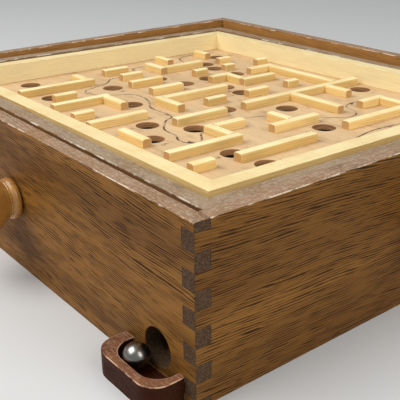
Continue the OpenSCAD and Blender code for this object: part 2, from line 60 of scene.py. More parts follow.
MM = 0.001
NODES = frame["nodes"]
JOINTS = {joint["name"]: joint for joint in frame["joints"]}
BODY_OF = {n: body for body, members in frame["record"]["behaviour"]["bodies"].items() for n in members}
SLOT_OF = {row["node"]: row["material_slot"] for row in frame["record"]["subparts"]}

# Directions of the grain
ALONG_X = Vector((1, 0, 0))
ALONG_Y = Vector((0, 1, 0))

# The maze is laid out in cells, counted from the middle of the board
CELL_X = 13.36*MM
CELL_Y = 13.8625*MM
FLOOR_TOP = 69.8*MM

# Middles of the maze holes in cells, each with the direction in degrees in which its number is printed
HOLES = (
    (2.78, 7.1, 0), (2.98, 1.87, 270), (6.2, 1, 270), (2.82, -3.28, 90), (1.1, -4.55, 270),
    (2.85, -5.48, 0), (6.32, -4.1, 270), (8.1, -3.9, 270), (-5.55, -2.25, 0), (-2.2, -3.22, 180),
    (-8.86, -5.19, 90), (-2, 2.2, 255), (-0.6, 2.2, 270), (-3.95, 1.1, 270), (-5.72, 0.62, 270),
    (1.3, -0.42, 255), (-3.95, 4.5, 270), (-5.72, 4.5, 270), (-6.95, 4.75, 105), (-8, 6.5, 90),
    (-4.05, 2.75, 90), (8.9, 4.6, 270), (-5.75, -5.55, 90),
)

# The printed route, in cells: from the start in the back left corner to the finish at the front right
ROUTE = (
    (-9.4, 7.4), (-9.5, 6.3), (-9.5, 5.4), (-9.1, 4.5), (-8.1, 4.1), (-7.4, 3.5), (-7.4, 2.6),
    (-8.3, 2.2), (-8.8, 1.5), (-8.5, 0.8), (-7.6, 0.7), (-7.3, 0), (-7.3, -1.3), (-6.7, -1.9),
    (-6.3, -2.8), (-5.8, -3.7), (-4.9, -3.6), (-4.2, -2.8), (-3.8, -2.2), (-2.9, -2.1), (-2, -2.4),
    (-1.2, -2.85), (-0.2, -2.9), (0.7, -3), (1, -3.5), (1.5, -3.95), (2.1, -4.35), (3, -4.45),
    (3.9, -4.75), (4.4, -4.3), (3.95, -3.8), (3.48, -3.45), (3.45, -2.75), (3, -1.5), (3, -0.6),
    (3.4, 0.4), (4.2, 0.85), (4.6, 1.6), (5.3, 2.3), (5.8, 3), (5.5, 3.8), (4.5, 4.2), (4.25, 5.2),
    (4.4, 6.3), (5.4, 6.9), (7, 6.9), (7.8, 6), (7.9, 4.2), (7.8, 2.2), (8.2, 0.4), (8.5, -1.4),
    (9.2, -3), (9.2, -4.6), (8.5, -5.6), (8.3, -7),
)
# Places on the route, by number, that carry an arrow to the next place
ARROWS = (3, 11, 15, 22, 28, 33, 37, 41, 45, 47, 49, 53)

# Strings below the shafts, when level: middle, plain end and spring end
FRAME_STRING = [Vector(p)*MM for p in ((-30, 0, 47.2), (-30, -123.1, 54.5), (-30, 123.1, 54.5))]
BOARD_STRING = [Vector(p)*MM for p in ((4, 8, 39.2), (134.3, 8, 58.3), (-134.3, 8, 58.3))]
SPRING_LENGTH = 20.5*MM
STRING_RADIUS = 0.6*MM


def srgb(red, green, blue):
    """Scene-linear colour from display values of 0 to 255."""
    return tuple(c/12.92 if c <= 0.04045 else ((c + 0.055)/1.055)**2.4
                 for c in (red/255, green/255, blue/255))


def colour_setting(name, description, default):
    return FloatVectorProperty(name=name, description=description, default=default,
                               subtype="COLOR", size=3, min=0, max=1)


def share_setting(name, description, default):
    return FloatProperty(name=name, description=description, default=default,
                         subtype="FACTOR", min=0, max=1)


def length_setting(name, description, default):
    return FloatProperty(name=name, description=description, default=default,
                         unit="LENGTH", subtype="DISTANCE", min=0)


def wood_settings(name, dark, light, line, end, speck, top, worn, lines, pores, dust, soil, scuff, wear,
                  rough, shine, coat, arris, length, pitch, inner=None):
    """A property group for one of the game's woods."""
    return type(f"LABYRINTH_PG_{name}", (bpy.types.PropertyGroup,), {"__annotations__": {
        "dark": colour_setting("Dark", "Dark bands of the figure", srgb(*dark)),
        "light": colour_setting("Light", "Light bands of the figure", srgb(*light)),
        # The inner colour is lighter than the light bands: painted light on faces that look to the middle of the
        # box
        "inner": colour_setting("Inner faces", "Faces that look to the middle of the box",
                                srgb(*(inner or light))),
        "line": colour_setting("Grain lines", "Fine lines and pores", srgb(*line)),
        "end": colour_setting("End grain", "Sawn ends", srgb(*end)),
        "speck": colour_setting("End specks", "Specks in the sawn ends", srgb(*speck)),
        "top": colour_setting("Top", "Rubbed and dusty upper faces", srgb(*top)),
        # The worn colour is partly bare wood and partly a painted highlight along the eased arrises
        "worn": colour_setting("Worn edges", "Bare wood on rubbed arrises", srgb(*worn)),
        "lines": share_setting("Line strength", "How strongly the fine lines show", lines),
        "pores": share_setting("Pore strength", "How strongly the pores show", pores),
        "dust": share_setting("Top strength", "How far the upper faces take their own colour", dust),
        "soil": share_setting("Soiling", "How strongly smudges show on the upper faces", soil),
        "scuff": share_setting("Scuffs", "How strongly bare specks show on the upper faces", scuff),
        "wear": share_setting("Wear", "Share of the arrises that is rubbed bare", wear),
        "rough": share_setting("Roughness", "Roughness of the finish", rough),
        "shine": share_setting("Shine", "Strength of the wood's own reflection", shine),
        "coat": share_setting("Varnish", "Strength of a clear varnish", coat),
        "arris": length_setting("Arris", "Width of the eased edges", arris*MM),
        "length": length_setting("Line length", "Length of the fine lines", length*MM),
        "pitch": length_setting("Line pitch", "Distance between the fine lines", pitch*MM),
    }})


# The box, frame and pale woods' inner colours are painted light on the faces that look to the middle of the box
BoxWood = wood_settings(
    "box_wood", dark=(112, 73, 28), light=(146, 99, 43), line=(42, 23, 8), end=(66, 47, 34),
    speck=(118, 98, 76), top=(162, 135, 112), worn=(220, 198, 172), lines=0.9, pores=0.45, dust=0.95,
    soil=0.4, scuff=0.4, wear=0.6, rough=0.55, shine=0.12, coat=0, arris=0.4, length=24, pitch=1.2,
    inner=(184, 130, 70))
FrameWood = wood_settings(
    "frame_wood", dark=(108, 74, 40), light=(142, 104, 62), line=(70, 48, 30), end=(72, 48, 30),
    speck=(118, 94, 70), top=(162, 140, 114), worn=(214, 200, 182), lines=0.35, pores=0.3, dust=0.9,
    soil=0.4, scuff=0.35, wear=0.6, rough=0.5, shine=0.2, coat=0, arris=0.5, length=60, pitch=2.4,
    inner=(162, 134, 100))
PaleWood = wood_settings(
    "pale_wood", dark=(218, 182, 112), light=(236, 203, 137), line=(190, 144, 78), end=(200, 156, 100),
    speck=(166, 120, 70), top=(246, 227, 172), worn=(247, 230, 182), lines=0.4, pores=0.14, dust=1,
    soil=0.1, scuff=0, wear=0.6, rough=0.45, shine=0.3, coat=0, arris=0.25, length=40, pitch=1.4,
    inner=(252, 237, 186))
# A slightly lighter copy of the pale wood: painted light on the strips' faces
StripWoodLitCopy = wood_settings(
    "strip_wood", dark=(223, 187, 115), light=(242, 210, 142), line=(190, 144, 78),
    end=(200, 156, 100), speck=(166, 120, 70), top=(254, 240, 186), worn=(252, 238, 190), lines=0.4,
    pores=0.14, dust=1, soil=0.1, scuff=0, wear=0.6, rough=0.45, shine=0.3, coat=0, arris=0.25,
    length=40, pitch=1.4)
FloorWood = wood_settings(
    "floor_wood", dark=(205, 170, 126), light=(226, 193, 146), line=(170, 130, 92), end=(182, 130, 84),
    speck=(40, 20, 10), top=(224, 191, 147), worn=(158, 112, 72), lines=0.32, pores=0.25, dust=0.35,
    soil=0.65, scuff=0, wear=1, rough=0.55, shine=0.25, coat=0, arris=0.35, length=40, pitch=1.6)
KnobWood = wood_settings(
    "knob_wood", dark=(158, 104, 42), light=(206, 152, 76), line=(112, 68, 28), end=(158, 104, 46),
    speck=(126, 80, 34), top=(206, 160, 98), worn=(232, 200, 146), lines=0.45, pores=0.3, dust=0,
    soil=0, scuff=0, wear=0.4, rough=0.35, shine=0.4, coat=0.6, arris=0.4, length=20, pitch=1.3)
# The cup's dark, light, line and end colours are darkened to paint the shade on its sides; the much lighter top
# colour is the cup's own wood on its upper faces
CupWoodShadedSides = wood_settings(
    "cup_wood", dark=(48, 20, 8), light=(74, 34, 16), line=(26, 12, 6), end=(50, 23, 11),
    speck=(76, 40, 23), top=(140, 95, 68), worn=(206, 166, 138), lines=0.4, pores=0.5, dust=0.9,
    soil=0.5, scuff=0.35, wear=0.72, rough=0.5, shine=0.06, coat=0, arris=0.4, length=14, pitch=0.9)
Hardboard = wood_settings(
    "hardboard", dark=(78, 56, 37), light=(96, 72, 49), line=(62, 42, 27), end=(70, 50, 33),
    speck=(56, 38, 24), top=(92, 68, 46), worn=(124, 98, 72), lines=0.15, pores=0.35, dust=0.2,
    soil=0.2, scuff=0, wear=0.3, rough=0.6, shine=0.25, coat=0, arris=0.3, length=3, pitch=1.2)


class LABYRINTH_PG_print(bpy.types.PropertyGroup):
    ink: colour_setting("Ink", "Colour of the printed route and numbers", srgb(88, 66, 50))
    line: length_setting("Line width", "Width of the printed route", 1.2*MM)
    digit: length_setting("Number height", "Height of the printed numbers", 5*MM)
    arrow: length_setting("Arrow length", "Length of a printed arrow head", 5*MM)
    thick: length_setting("Ink thickness", "Height of the ink above the floor", 0.05*MM)


class LABYRINTH_PG_knobs(bpy.types.PropertyGroup):
    sides: IntProperty(name="Sides", description="Steps of a knob's turned surface", default=96, min=24)
    groove: length_setting("Groove", "Depth of the turned grooves", 0.35*MM)


class LABYRINTH_PG_metals(bpy.types.PropertyGroup):
    # The ball's steel colour is darkened: a painted dark reflection of its surroundings
    ball: colour_setting("Ball", "Polished steel of the ball", (0.3, 0.29, 0.26))
    steel: colour_setting("Steel", "Shafts, pins, nails and springs", (0.56, 0.56, 0.57))
    brass: colour_setting("Brass", "Screw eyes and collars", (0.62, 0.45, 0.17))
    string: colour_setting("String", "Natural string", srgb(214, 202, 176))


class LABYRINTH_PG_stage(bpy.types.PropertyGroup):
    eye: FloatVectorProperty(name="Camera", description="Place of the camera", subtype="TRANSLATION",
                             size=3, default=(0.36573, -0.29873, 0.20516))
    aim: FloatVectorProperty(name="View direction", description="Direction of view", subtype="DIRECTION",
                             size=3, default=(-0.723348, 0.564871, -0.397101))
    roll: FloatProperty(name="Roll", description="Turn of the camera about its view", subtype="ANGLE",
                        default=math.radians(-0.575))
    lens: FloatProperty(name="Lens", description="Focal length on a 36 mm sensor, in mm",
                        default=67.559, min=10)
    floor: colour_setting("Floor", "Plain pale floor", (0.69, 0.69, 0.68))
    world: share_setting("World", "Even light from all round", 0.38)
    key: FloatProperty(name="Key light", description="Power of the overhead light",
                       subtype="POWER", default=15.9)
    fill: FloatProperty(name="Fill light", description="Power of the light beside the camera",
                        subtype="POWER", default=7.6)


SETTINGS = {
    "labyrinth_box": BoxWood,
    "labyrinth_frame": FrameWood,
    "labyrinth_pale": PaleWood,
    "labyrinth_strip": StripWoodLitCopy,
    "labyrinth_floor": FloorWood,
    "labyrinth_knob_wood": KnobWood,
    "labyrinth_cup": CupWoodShadedSides,
    "labyrinth_hardboard": Hardboard,
    "labyrinth_print": LABYRINTH_PG_print,
    "labyrinth_knobs": LABYRINTH_PG_knobs,
    "labyrinth_metals": LABYRINTH_PG_metals,
    "labyrinth_stage": LABYRINTH_PG_stage,
}


# Shader nodes

SOCKETS = {"Vector": "NodeSocketVector", "Float": "NodeSocketFloat"}

# Scales of patterns per metre, along the grain and across it
WOBBLE_SCALE = (9, 30, 30)
FIGURE_SCALE = (3.5, 46, 46)
SMUDGE_SCALE = (60, 120, 120)
SCUFF_SCALE = (420, 900, 900)
SCRATCH_SCALE = (300, 2600, 2600)
# Scales of even patterns per metre
PATCH_SCALE = 75
CLOUD_SCALE = 38
SPECK_SCALE = 1500
POLISH_SCALE = 220
STRAND_SCALE = 160
FIBRE_SCALE = 2400
INK_SCALE = 160
FLOOR_SCALE = 3
# Scales of the pores and of the breaks in the fine lines, as multiples of the lines' own
PORE_SCALE = (2.2, 1.5, 1.5)
BREAK_SCALE = (1.4, 0.4, 0.4)
# Scale of a diagonal wave texture whose waves are one unit apart, and how far its bands bend
WAVE = math.pi/5
WAVE_BEND = 7
# Shift of the pattern from one plank to the next, and depth of the grain's wobble, in metres
PLANK_SHIFT = (7.31, 4.17, 2.93)
WOBBLE_DEPTH = (0, 0.004, 0.004)
# Level of the patches that stay covered on arrises without the pale worn colour and painted highlight, its fall
# with the wear share, and the patches' soft border
COVERED = 0.78
WEAR_FALL = 0.5
WEAR_BORDER = 0.14
# Shares in which the painted light on inner faces, the figure on upper faces, thin dust and sawn ends show
LIT_INNER_SHARE = 0.85
TOP_FIGURE = 0.25
THIN_DUST = 0.55
END_SHARE = 0.92
# Share of the lines and pores that shows through on upper faces and on the painted-lit inner faces
VEILED_GRAIN = 0.35
# How strongly the specks of sawn ends show, and their flat stretch in the edges of plywood
SPECKLED = 0.4
PLIES = (0.03, 0.03, 0.6)
# Relief of lines, pores and specks, as shares of the bump's height
LINE_RELIEF = -0.5
PORE_RELIEF = -0.9
SPECK_RELIEF = -0.8
WOOD_BUMP = 0.25*MM
SCRATCH_BUMP = 0.05*MM
STRAND_BUMP = 0.2*MM
COAT_ROUGHNESS = 0.26


def place(tree, kind, inputs=None, **properties):
    """A shader node with its properties set and its inputs linked or filled."""
    made = tree.nodes.new(kind)
    for key, value in properties.items():
        setattr(made, key, value)
    for key, value in (inputs or {}).items():
        if isinstance(value, bpy.types.NodeSocket):
            tree.links.new(value, made.inputs[key])
        else:
            made.inputs[key].default_value = value
    return made


def new_group(name, inputs, outputs):
    """An empty node group with its named sockets, and its input and output nodes."""
    tree = bpy.data.node_groups.new(name, "ShaderNodeTree")
    for key, kind in inputs:
        tree.interface.new_socket(key, in_out="INPUT", socket_type=SOCKETS[kind])
    for key, kind in outputs:
        tree.interface.new_socket(key, in_out="OUTPUT", socket_type=SOCKETS[kind])
    return tree, tree.nodes.new("NodeGroupInput").outputs, tree.nodes.new("NodeGroupOutput").inputs


def use_group(tree, group, inputs):
    return place(tree, "ShaderNodeGroup", inputs, node_tree=group).outputs


def maths(tree, operation, first, second=0.0, clamp=False):
    made = place(tree, "ShaderNodeMath", {0: first, 1: second}, operation=operation, use_clamp=clamp)
    return made.outputs[0]


def product(tree, *factors):
    """The product of two or more values, multiplied from the last to the first."""
    *rest, made = factors
    for factor in reversed(rest):
        made = maths(tree, "MULTIPLY", factor, made)
    return made


def ramp(tree, value, low, high, to_low=0.0, to_high=1.0):
    """A smooth step of a value between two levels."""
    inputs = {"Value": value, "From Min": low, "From Max": high, "To Min": to_low, "To Max": to_high}
    return place(tree, "ShaderNodeMapRange", inputs, interpolation_type="SMOOTHSTEP").outputs[0]


def blend(tree, factor, first, second):
    """A mix of two colours, each a socket or a plain colour."""
    made = place(tree, "ShaderNodeMix", {0: factor}, data_type="RGBA")
    for index, value in ((6, first), (7, second)):
        if isinstance(value, bpy.types.NodeSocket):
            tree.links.new(value, made.inputs[index])
        else:
            made.inputs[index].default_value = (*value, 1)
    return made.outputs[2]


def noise(tree, vector, scale=1.0, detail=2.0, roughness=0.5):
    inputs = {"Vector": vector, "Scale": scale, "Detail": detail, "Roughness": roughness}
    return place(tree, "ShaderNodeTexNoise", inputs).outputs["Fac"]


def bands(tree, inputs):
    """Slanting wave bands."""
    made = place(tree, "ShaderNodeTexWave", inputs, wave_type="BANDS", bands_direction="DIAGONAL")
    return made.outputs["Fac"]


def bump(tree, height, strength, distance):
    inputs = {"Height": height, "Strength": strength, "Distance": distance}
    return place(tree, "ShaderNodeBump", inputs).outputs[0]


def stretched(tree, vector, scale):
    return place(tree, "ShaderNodeVectorMath", {0: vector, 1: scale}, operation="MULTIPLY").outputs[0]


def shift(tree, amount, by, vector):
    """A vector moved by an amount of another."""
    made = place(tree, "ShaderNodeVectorMath", {0: amount, 1: by, 2: vector}, operation="MULTIPLY_ADD")
    return made.outputs[0]


def attribute(tree, name, output="Fac"):
    return place(tree, "ShaderNodeAttribute", attribute_name=name).outputs[output]


def wood_figure():
    """Figure, fine lines and pores of a plank whose grain runs along the vector's X, in metres."""
    tree, given, put = new_group(
        "Wood figure", [("Vector", "Vector"), ("Plank", "Float"), ("Length", "Float"), ("Pitch", "Float")],
        [("Figure", "Float"), ("Lines", "Float"), ("Pores", "Float")])
    shifted = shift(tree, given["Plank"], PLANK_SHIFT, given["Vector"])
    wobble = noise(tree, stretched(tree, shifted, WOBBLE_SCALE), detail=1)
    bent = shift(tree, wobble, WOBBLE_DEPTH, shifted)
    along = maths(tree, "DIVIDE", 1.0, given["Length"])
    across = maths(tree, "DIVIDE", 1.0, given["Pitch"])
    fine = place(tree, "ShaderNodeCombineXYZ", {0: along, 1: across, 2: across}).outputs[0]
    figure = noise(tree, stretched(tree, bent, FIGURE_SCALE), detail=3, roughness=0.6)
    rings = bands(tree, {"Vector": stretched(tree, bent, fine), "Scale": WAVE, "Distortion": WAVE_BEND,
                         "Detail": 2, "Detail Scale": 0.7})
    breaks = noise(tree, stretched(tree, bent, stretched(tree, fine, BREAK_SCALE)), detail=2)
    pores = noise(tree, stretched(tree, bent, stretched(tree, fine, PORE_SCALE)), detail=1)
    lines = product(tree, ramp(tree, rings, 0.35, 0.9), ramp(tree, breaks, 0.36, 0.6, 0.25, 1))
    tree.links.new(ramp(tree, figure, 0.3, 0.7), put["Figure"])
    tree.links.new(lines, put["Lines"])
    tree.links.new(ramp(tree, pores, 0.58, 0.7), put["Pores"])
    return tree


def rubbed_edge():
    """Mask of the bare patches along marked arrises; on the pale ones this colour is partly wear and partly a
    painted highlight.
    """
    tree, given, put = new_group(
        "Worn and highlit edge", [("Vector", "Vector"), ("Edge", "Float"), ("Wear", "Float")], [("Mask", "Float")])
    patches = noise(tree, given["Vector"], scale=PATCH_SCALE, detail=4, roughness=0.65)
    level = maths(tree, "SUBTRACT", COVERED, product(tree, given["Wear"], WEAR_FALL))
    bare = ramp(tree, patches, level, maths(tree, "ADD", level, WEAR_BORDER))
    tree.links.new(maths(tree, "MULTIPLY", bare, given["Edge"], clamp=True), put["Mask"])
    return tree


def end_speckle():
    """Speckle of sawn end grain, clouds of dust, smudges of dirt and bare scuffs."""
    tree, given, put = new_group(
        "End speckle", [("Vector", "Vector")],
        [("Speckle", "Float"), ("Cloud", "Float"), ("Smudge", "Float"), ("Scuff", "Float")])
    vector = given["Vector"]
    speckle = noise(tree, vector, scale=SPECK_SCALE, detail=2)
    cloud = noise(tree, vector, scale=CLOUD_SCALE, detail=4, roughness=0.62)
    smudge = noise(tree, stretched(tree, vector, SMUDGE_SCALE), detail=5, roughness=0.7)
    scuff = noise(tree, stretched(tree, vector, SCUFF_SCALE), detail=4, roughness=0.8)
    tree.links.new(ramp(tree, speckle, 0.42, 0.62), put["Speckle"])
    tree.links.new(ramp(tree, cloud, 0.3, 0.62), put["Cloud"])
    tree.links.new(ramp(tree, smudge, 0.52, 0.74), put["Smudge"])
    tree.links.new(ramp(tree, scuff, 0.47, 0.66), put["Scuff"])
    return tree


GROUPS = {}


def shared_group(make):
    """A node group, built the first time that a material needs it."""
    if make.__name__ not in GROUPS:
        GROUPS[make.__name__] = make()
    return GROUPS[make.__name__]


def new_material(name):
    material = bpy.data.materials.new(name)
    material.use_nodes = True
    return material, material.node_tree, material.node_tree.nodes["Principled BSDF"]


def object_vector(tree, grain):
    """Object coordinates turned so that the grain runs along X."""
    turn = -math.pi/2 if grain.y else 0
    coordinates = place(tree, "ShaderNodeTexCoord").outputs["Object"]
    return place(tree, "ShaderNodeMapping", {"Vector": coordinates, "Rotation": (0, 0, turn)}).outputs[0]


def wood(name, look, grain, layers=(1, 1, 1)):
    """A planed and finished wood: figure, lines, pores, sawn ends, rubbed tops and worn arrises."""
    material, tree, shader = new_material(name)
    vector = object_vector(tree, grain)
    edge, end, upper = place(tree, "ShaderNodeSeparateXYZ", {0: attribute(tree, "marks", "Vector")}).outputs
    plank = attribute(tree, "plank")
    inner = attribute(tree, "inner")
    figure = use_group(tree, shared_group(wood_figure),
                       {"Vector": vector, "Plank": plank, "Length": look.length, "Pitch": look.pitch})
    speckle = use_group(tree, shared_group(end_speckle), {"Vector": vector})
    layered = use_group(tree, shared_group(end_speckle), {"Vector": stretched(tree, vector, layers)})
    bare = use_group(tree, shared_group(rubbed_edge), {"Vector": vector, "Edge": edge, "Wear": look.wear})
    planed = place(tree, "ShaderNodeHueSaturation", {
        "Color": blend(tree, figure["Figure"], look.dark, look.light),
        "Value": ramp(tree, plank, 0, 1, 0.93, 1.07)}).outputs[0]
    # Faces that look to the middle of the box take the lighter inner colour: painted light
    side = blend(tree, product(tree, inner, LIT_INNER_SHARE), planed, look.inner)
    top = blend(tree, product(tree, figure["Figure"], TOP_FIGURE), look.top, look.light)
    dusty = product(tree, upper, ramp(tree, speckle["Cloud"], 0, 1, look.dust*THIN_DUST, look.dust))
    body = blend(tree, dusty, side, top)
    grain_shown = ramp(tree, maths(tree, "MAXIMUM", upper, inner), 0, 1, 1, VEILED_GRAIN)
    lines = product(tree, grain_shown, figure["Lines"], look.lines)
    pores = product(tree, grain_shown, figure["Pores"], look.pores)
    pored = blend(tree, pores, blend(tree, lines, body, look.line), look.line)
    dirt = product(tree, speckle["Smudge"], upper, look.soil)
    scuffs = product(tree, speckle["Scuff"], upper, look.scuff)
    soiled = blend(tree, scuffs, blend(tree, dirt, pored, look.line), look.worn)
    sawn = blend(tree, product(tree, layered["Speckle"], SPECKLED), look.end, look.speck)
    ended = blend(tree, product(tree, end, END_SHARE), soiled, sawn)
    # Marked arrises take the worn colour: partly real wear and partly a painted highlight along the edges
    tree.links.new(blend(tree, bare["Mask"], ended, look.worn), shader.inputs["Base Color"])
    cut = maths(tree, "ADD", figure["Lines"], end)
    tree.links.new(ramp(tree, cut, 0, 1, look.rough - 0.06, look.rough + 0.16), shader.inputs["Roughness"])
    grooves = maths(tree, "ADD", product(tree, figure["Lines"], LINE_RELIEF),
                    product(tree, figure["Pores"], PORE_RELIEF))
    relief = maths(tree, "ADD", grooves, product(tree, speckle["Speckle"], end, SPECK_RELIEF))
    tree.links.new(bump(tree, relief, 0.35, WOOD_BUMP), shader.inputs["Normal"])
    shader.inputs["Specular IOR Level"].default_value = look.shine
    shader.inputs["Coat Weight"].default_value = look.coat
    shader.inputs["Coat Roughness"].default_value = COAT_ROUGHNESS
    return material


def darker(colour, share):
    return [channel*share for channel in colour]


def metal(name, colour, smooth, rough, scratch):
    """A metal with fine scratches and a slightly uneven polish."""
    material, tree, shader = new_material(name)
    vector = place(tree, "ShaderNodeTexCoord").outputs["Object"]
    cloud = noise(tree, vector, scale=POLISH_SCALE, detail=3)
    lines = noise(tree, stretched(tree, vector, SCRATCH_SCALE), detail=2)
    uneven = maths(tree, "ADD", cloud, lines)
    tree.links.new(blend(tree, cloud, darker(colour, 0.86), colour), shader.inputs["Base Color"])
    tree.links.new(ramp(tree, uneven, 0.6, 1.4, smooth, rough), shader.inputs["Roughness"])
    tree.links.new(bump(tree, lines, scratch, SCRATCH_BUMP), shader.inputs["Normal"])
    shader.inputs["Metallic"].default_value = 1
    return material


def twisted_string(name, colour):
    """String of twisted yarn: slanting strands with fibres across them."""
    material, tree, shader = new_material(name)
    vector = place(tree, "ShaderNodeTexCoord").outputs["Object"]
    strands = bands(tree, {"Vector": vector, "Scale": STRAND_SCALE, "Distortion": 1.5, "Detail": 2})
    fibres = noise(tree, vector, scale=FIBRE_SCALE, detail=3)
    tree.links.new(blend(tree, product(tree, strands, fibres), darker(colour, 0.55), colour),
                   shader.inputs["Base Color"])
    tree.links.new(bump(tree, strands, 0.6, STRAND_BUMP), shader.inputs["Normal"])
    tree.links.new(ramp(tree, fibres, 0.2, 0.8, 0.75, 0.95), shader.inputs["Roughness"])
    return material


# Meshes

# Corners closer than this are one
WELD = 1e-6
# Faces that turn less than FLAT are one, edges that turn more than SHARP are arrises, and edges that turn
# less than SMOOTH are shaded smooth
FLAT = math.radians(0.6)
SHARP = math.radians(40)
SMOOTH = math.radians(20)
# A face looks in a direction if its normal has at least this share of it
FACING = 0.8
# Upward share of the normal, from leaning to level and on upright faces
LEANING = 0.2
LEVEL = 0.97
UPRIGHT = 0.5
# Sawn ends of a turned knob look more closely along the grain
KNOB_ENDS = 0.93
# Edges shorter than these stay sharp, and edges of the floor's holes are shorter than HOLE_EDGE
PANEL_EDGE = 20*MM
RAIL_EDGE = 5*MM
JOINT_EDGE = 2*MM
CUP_EDGE = 0.3*MM
HOLE_EDGE = 5*MM
# Marks of a sawn face: not an arris, an end, not an upper face
SAWN = (0, 1, 0)
# Upper faces further than this below the top of a piece don't gather dust
CREST = 5*MM


def islands(bm):
    """Faces of the bmesh, grouped by connected solid."""
    left = set(bm.faces)
    while left:
        found = [left.pop()]
        for face in found:
            for edge in face.edges:
                for other in edge.link_faces:
                    if other in left:
                        left.remove(other)
                        found.append(other)
        yield found


def marked_bmesh():
    """An empty bmesh with the layers that mark() fills; adding one later would lose the bevels' faces."""
    bm = bmesh.new()
    bm.faces.layers.float_vector.new("marks")
    bm.faces.layers.float.new("plank")
    bm.faces.layers.float.new("inner")
    return bm


def least_middle(faces):
    return min(face.calc_center_median().to_tuple(5) for face in faces)


def mark(bm, name, grain, worn, ends=FACING):
    """Writes which faces are arrises, sawn ends and upper faces, and gives each solid its own number."""
    marks = bm.faces.layers.float_vector["marks"]
    plank = bm.faces.layers.float["plank"]
    bm.normal_update()
    crest = max(v.co.z for v in bm.verts) - CREST
    for face in bm.faces:
        end = abs(face.normal.dot(grain)) > ends
        top = face.normal.z > FACING and face.calc_center_median().z > crest
        face[marks] = (face in worn, end and face not in worn, top)
        face.smooth = True
    draw = random.Random(name)
    for solid in sorted(islands(bm), key=least_middle):
        number = draw.random()
        for face in solid:
            face[plank] = number
    for edge in bm.edges:
        edge.smooth = len(edge.link_faces) == 2 and edge.calc_face_angle(0) < SMOOTH


def mark_sawn(bm, faces):
    marks = bm.faces.layers.float_vector["marks"]
    for face in faces:
        face[marks] = SAWN


def mark_inside(bm, node, worn):
    """Writes which faces look to the middle of the box; these faces take the lighter inner colour, which is
    painted light.
    """
    low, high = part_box(node)
    inward = -((low + high)*Vector((1, 1, 0))).normalized()
    inner = bm.faces.layers.float["inner"]
    for face in bm.faces:
        face[inner] = face not in worn and face.normal.dot(inward) > FACING


def finish_piece(name, bm, body, material, slot, *stood_for):
    """Makes a piece of a bmesh, on its body; its record slot is not used."""
    mesh = bpy.data.meshes.new(name)
    bm.to_mesh(mesh)
    bm.free()
    mesh.materials.append(material)
    made = bpy.data.objects.new(name, mesh)
    bpy.context.scene.collection.objects.link(made)
    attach(made, body)
    if stood_for:
        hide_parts(*stood_for)


def convex_edges(bm, shortest):
    return [e for e in bm.edges if len(e.link_faces) == 2 and e.is_convex and e.calc_face_angle() > SHARP
            and e.calc_length() > shortest]


def ease(bm, edges, width):
    """Bevels edges and returns the faces that this makes."""
    made = bmesh.ops.bevel(bm, geom=edges, offset=width, offset_type="OFFSET", segments=2, profile=0.5,
                           affect="EDGES", clamp_overlap=False, material=-1)
    return set(made["faces"])


def solid_copy(node):
    """A CAD solid as a bmesh, with its triangles merged into whole faces."""
    bm = marked_bmesh()
    bm.from_mesh(NODES[node].data)
    bmesh.ops.remove_doubles(bm, verts=bm.verts, dist=WELD)
    bmesh.ops.dissolve_limit(bm, angle_limit=FLAT, use_dissolve_boundaries=False, verts=bm.verts,
                             edges=bm.edges, delimit=set())
    return bm


def eased_copy(node, material, grain, width, shortest, mitred=False):
    """A piece that stands for a CAD solid, with its arrises eased and marked; mitred ends stay sharp."""
    bm = solid_copy(node)
    edges = convex_edges(bm, shortest)
    if mitred:
        edges = [e for e in edges if abs((e.verts[1].co - e.verts[0].co).normalized().dot(grain)) > FACING]
    worn = ease(bm, edges, width)
    mark(bm, node, grain, worn)
    # Mitred rails' inward faces are marked for the painted light of the inner colour
    if mitred:
        mark_inside(bm, node, worn)
    finish_piece(f"{node}_eased", bm, BODY_OF[node], material, SLOT_OF[node], node)


def paint(material, *nodes):
    """Gives CAD nodes that stay in view their material."""
    for node in nodes:
        slots = NODES[node].data.materials
        slots.clear()
        slots.append(material)


def rest_turn(joint):
    """How far a tilting piece stands off level in the photograph, in radians."""
    low, high = JOINTS[joint]["range_deg"]
    return -math.radians((low + high)/2)


def pose_of_frame():
    pivot = Matrix.Translation(JOINTS["frame_tilt"]["pos_m"])
    return pivot @ Matrix.Rotation(rest_turn("frame_tilt"), 4, "X") @ pivot.inverted()


def pose_of_board():
    pivot = Matrix.Translation(JOINTS["board_tilt"]["pos_m"])
    return pose_of_frame() @ pivot @ Matrix.Rotation(rest_turn("board_tilt"), 4, "Y") @ pivot.inverted()


def to_mesh(curve, name):
    """A bmesh of a curve or text, which is then removed."""
    made = bpy.data.objects.new(name, curve)
    bpy.context.scene.collection.objects.link(made)
    bpy.context.view_layer.update()
    mesh = bpy.data.meshes.new_from_object(made.evaluated_get(bpy.context.evaluated_depsgraph_get()))
    bm = bmesh.new()
    bm.from_mesh(mesh)
    bpy.data.objects.remove(made)
    bpy.data.meshes.remove(mesh)
    return bm


def join_into(target, source):
    """Adds one bmesh to another."""
    mesh = bpy.data.meshes.new("part")
    source.to_mesh(mesh)
    source.free()
    target.from_mesh(mesh)
    bpy.data.meshes.remove(mesh)


def tube(points, radius, name):
    """A round tube through points, as a bmesh."""
    curve = bpy.data.curves.new(name, "CURVE")
    curve.dimensions = "3D"
    curve.bevel_depth = radius
    curve.bevel_resolution = 3
    curve.use_fill_caps = True
    spline = curve.splines.new("POLY")
    spline.points.add(len(points) - 1)
    for point, place_at in zip(spline.points, points):
        point.co = (*place_at, 1)
    bm = to_mesh(curve, name)
    for face in bm.faces:
        face.smooth = True
    return bm


